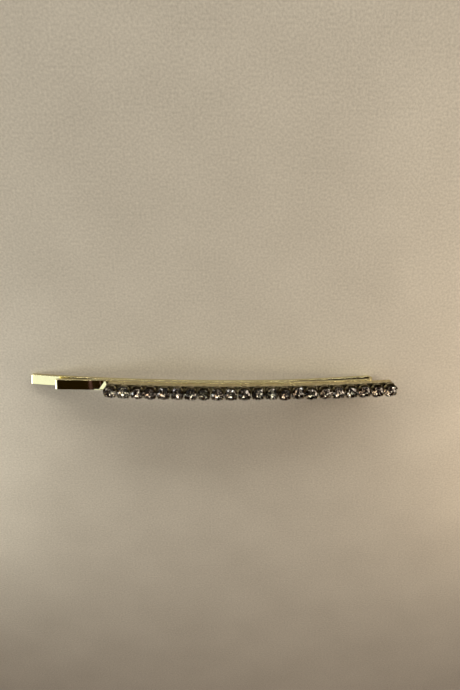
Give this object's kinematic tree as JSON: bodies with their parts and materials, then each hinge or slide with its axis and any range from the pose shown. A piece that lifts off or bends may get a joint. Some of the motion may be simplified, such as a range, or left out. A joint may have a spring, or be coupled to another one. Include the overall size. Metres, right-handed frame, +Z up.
{
  "type": "hair clip",
  "caption": "Arched hair grip bent from one flat sprung strip, with a bare flared tip and a row of round faceted stones in claw cups along its front leg.",
  "frame": {"origin": "middle of the footprint, on the surface that the back leg stands on", "axes": "+X from the open tips to the bend, +Y across the strip, +Z up towards the stones"},
  "size_m": [0.0756, 0.0026, 0.0067],
  "materials": {
    "strip_gold": "polished pale gold plate",
    "setting_gold": "satin gold plate",
    "crystal": "polished, foil backed"
  },
  "bodies": {
    "back": {"back_leg": "strip_gold"},
    "front": {"front_leg": "strip_gold", "setting_rail": "setting_gold", "cup_01": "setting_gold", "stone_01": "crystal", "cup_02": "setting_gold", "stone_02": "crystal", "cup_03": "setting_gold", "stone_03": "crystal", "cup_04": "setting_gold", "stone_04": "crystal", "cup_05": "setting_gold", "stone_05": "crystal", "cup_06": "setting_gold", "stone_06": "crystal", "cup_07": "setting_gold", "stone_07": "crystal", "cup_08": "setting_gold", "stone_08": "crystal", "cup_09": "setting_gold", "stone_09": "crystal", "cup_10": "setting_gold", "stone_10": "crystal", "cup_11": "setting_gold", "stone_11": "crystal", "cup_12": "setting_gold", "stone_12": "crystal", "cup_13": "setting_gold", "stone_13": "crystal", "cup_14": "setting_gold", "stone_14": "crystal", "cup_15": "setting_gold", "stone_15": "crystal", "cup_16": "setting_gold", "stone_16": "crystal", "cup_17": "setting_gold", "stone_17": "crystal", "cup_18": "setting_gold", "stone_18": "crystal", "cup_19": "setting_gold", "stone_19": "crystal", "cup_20": "setting_gold", "stone_20": "crystal", "cup_21": "setting_gold", "stone_21": "crystal", "cup_22": "setting_gold", "stone_22": "crystal"}
  },
  "joints": [
    {"name": "bend_flex", "type": "hinge", "parent": "back", "child": "front", "pos_m": [0.03323, 0, 0.00085], "axis": [0, 1, 0], "range_deg": [0, 8], "stiffness_Nm_per_rad": 0.15, "springref_deg": -11.46}
  ]
}
